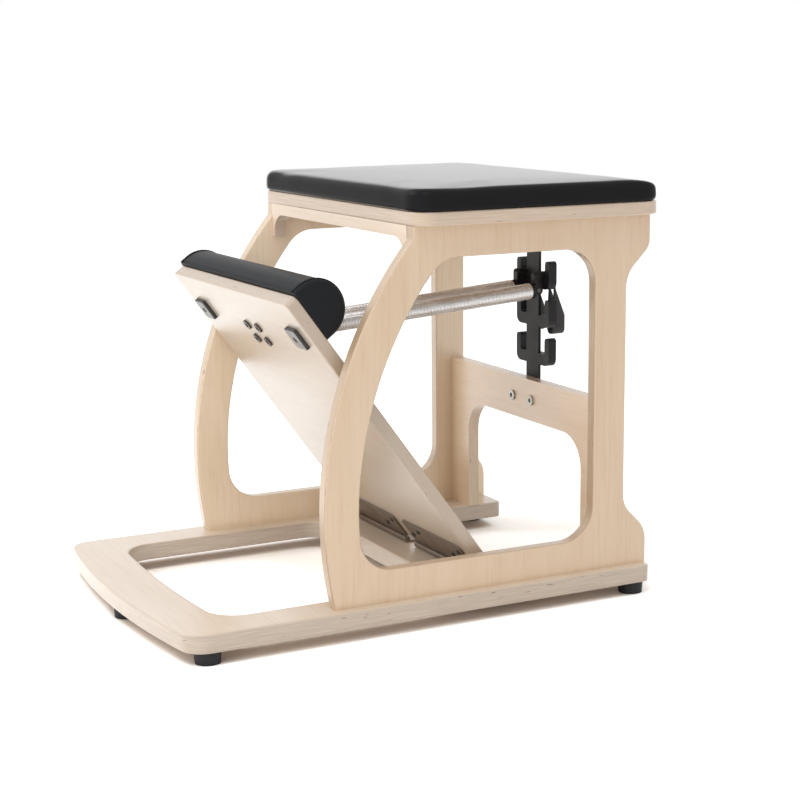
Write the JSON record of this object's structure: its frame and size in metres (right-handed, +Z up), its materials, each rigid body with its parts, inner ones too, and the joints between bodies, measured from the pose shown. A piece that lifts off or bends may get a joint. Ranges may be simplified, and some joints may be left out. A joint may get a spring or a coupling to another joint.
{
  "type": "pilates chair",
  "caption": "Plywood pilates chair with a padded seat, curved open side panels and a hinged foot pedal held up by springs on a hook tree.",
  "frame": {"origin": "on the floor under the middle of the chair's outline", "axes": "+Z up, -Y towards the pedal at the front, +X to the sitter's left"},
  "size_m": [0.546, 0.7599, 0.616],
  "materials": {
    "plywood": "clear satin",
    "dowel": "bare",
    "upholstery": "vinyl over foam",
    "rubber": "matte",
    "black_metal": "powder coat",
    "bronze": "bronzed",
    "steel": "bright",
    "webbing": "woven"
  },
  "bodies": {
    "frame": {"base_board": "plywood", "left_side_panel": "plywood", "right_side_panel": "plywood", "rear_brace": "plywood", "rear_rail": "plywood", "front_apron": "plywood", "brace_dowels": "dowel", "rail_dowels": "dowel", "apron_dowels": "dowel", "seat_board": "plywood", "seat_cushion": "upholstery", "front_left_foot": "rubber", "front_right_foot": "rubber", "front_middle_foot": "rubber", "rear_left_foot": "rubber", "rear_right_foot": "rubber", "foot_screws": "steel", "panel_screws": "steel", "seat_screws": "steel", "spring_tree": "black_metal", "brace_bolts": "steel", "brace_nuts": "steel", "rail_bolts": "steel", "rail_nuts": "steel", "left_spring_hook": "black_metal", "right_spring_hook": "black_metal", "left_pull_strap": "webbing", "right_pull_strap": "webbing", "hook_pins": "steel", "left_hinge_base_leaf": "bronze", "right_hinge_base_leaf": "bronze", "left_hinge_pin": "bronze", "right_hinge_pin": "bronze", "base_hinge_screws": "bronze"},
    "pedal": {"pedal_board": "plywood", "pedal_pad": "upholstery", "left_bumper": "rubber", "right_bumper": "rubber", "bumper_screws": "steel", "spring_anchor": "steel", "anchor_pins": "steel", "anchor_bolts": "black_metal", "left_hinge_pedal_leaf": "bronze", "right_hinge_pedal_leaf": "bronze", "pedal_hinge_screws": "bronze"},
    "spring_eyes": {"left_spring_eye": "black_metal", "right_spring_eye": "black_metal"},
    "spring_tails": {"left_spring_tail": "black_metal", "right_spring_tail": "black_metal"},
    "springs": {"left_spring": "steel", "right_spring": "steel"}
  },
  "joints": [
    {"name": "pedal_press", "type": "hinge", "parent": "frame", "child": "pedal", "pos_m": [0, 0.1075, 0.049], "axis": [1, 0, 0], "range_deg": [0, 54.1], "stiffness_Nm_per_rad": 45, "springref_deg": -25.78},
    {"name": "spring_eye_turn", "type": "hinge", "parent": "pedal", "child": "spring_eyes", "pos_m": [0, -0.09062, 0.39979], "axis": [1, 0, 0], "range_deg": [-29.55, 0]},
    {"name": "spring_swing", "type": "hinge", "parent": "frame", "child": "spring_tails", "pos_m": [0, 0.3145, 0.431], "axis": [1, 0, 0], "range_deg": [0, 24.66]},
    {"name": "spring_stretch", "type": "slide", "parent": "spring_tails", "child": "springs", "axis": [0, -0.997, -0.0768], "range_m": [0, 0.28864], "deforming": ["left_spring", "right_spring"]}
  ],
  "couplings": [
    {"joint": "spring_eye_turn", "follows": "pedal_press", "ratio": -0.54519},
    {"joint": "spring_swing", "follows": "pedal_press", "ratio": 0.45481},
    {"joint": "spring_stretch", "follows": "pedal_press", "m_per_rad": 0.30516}
  ]
}
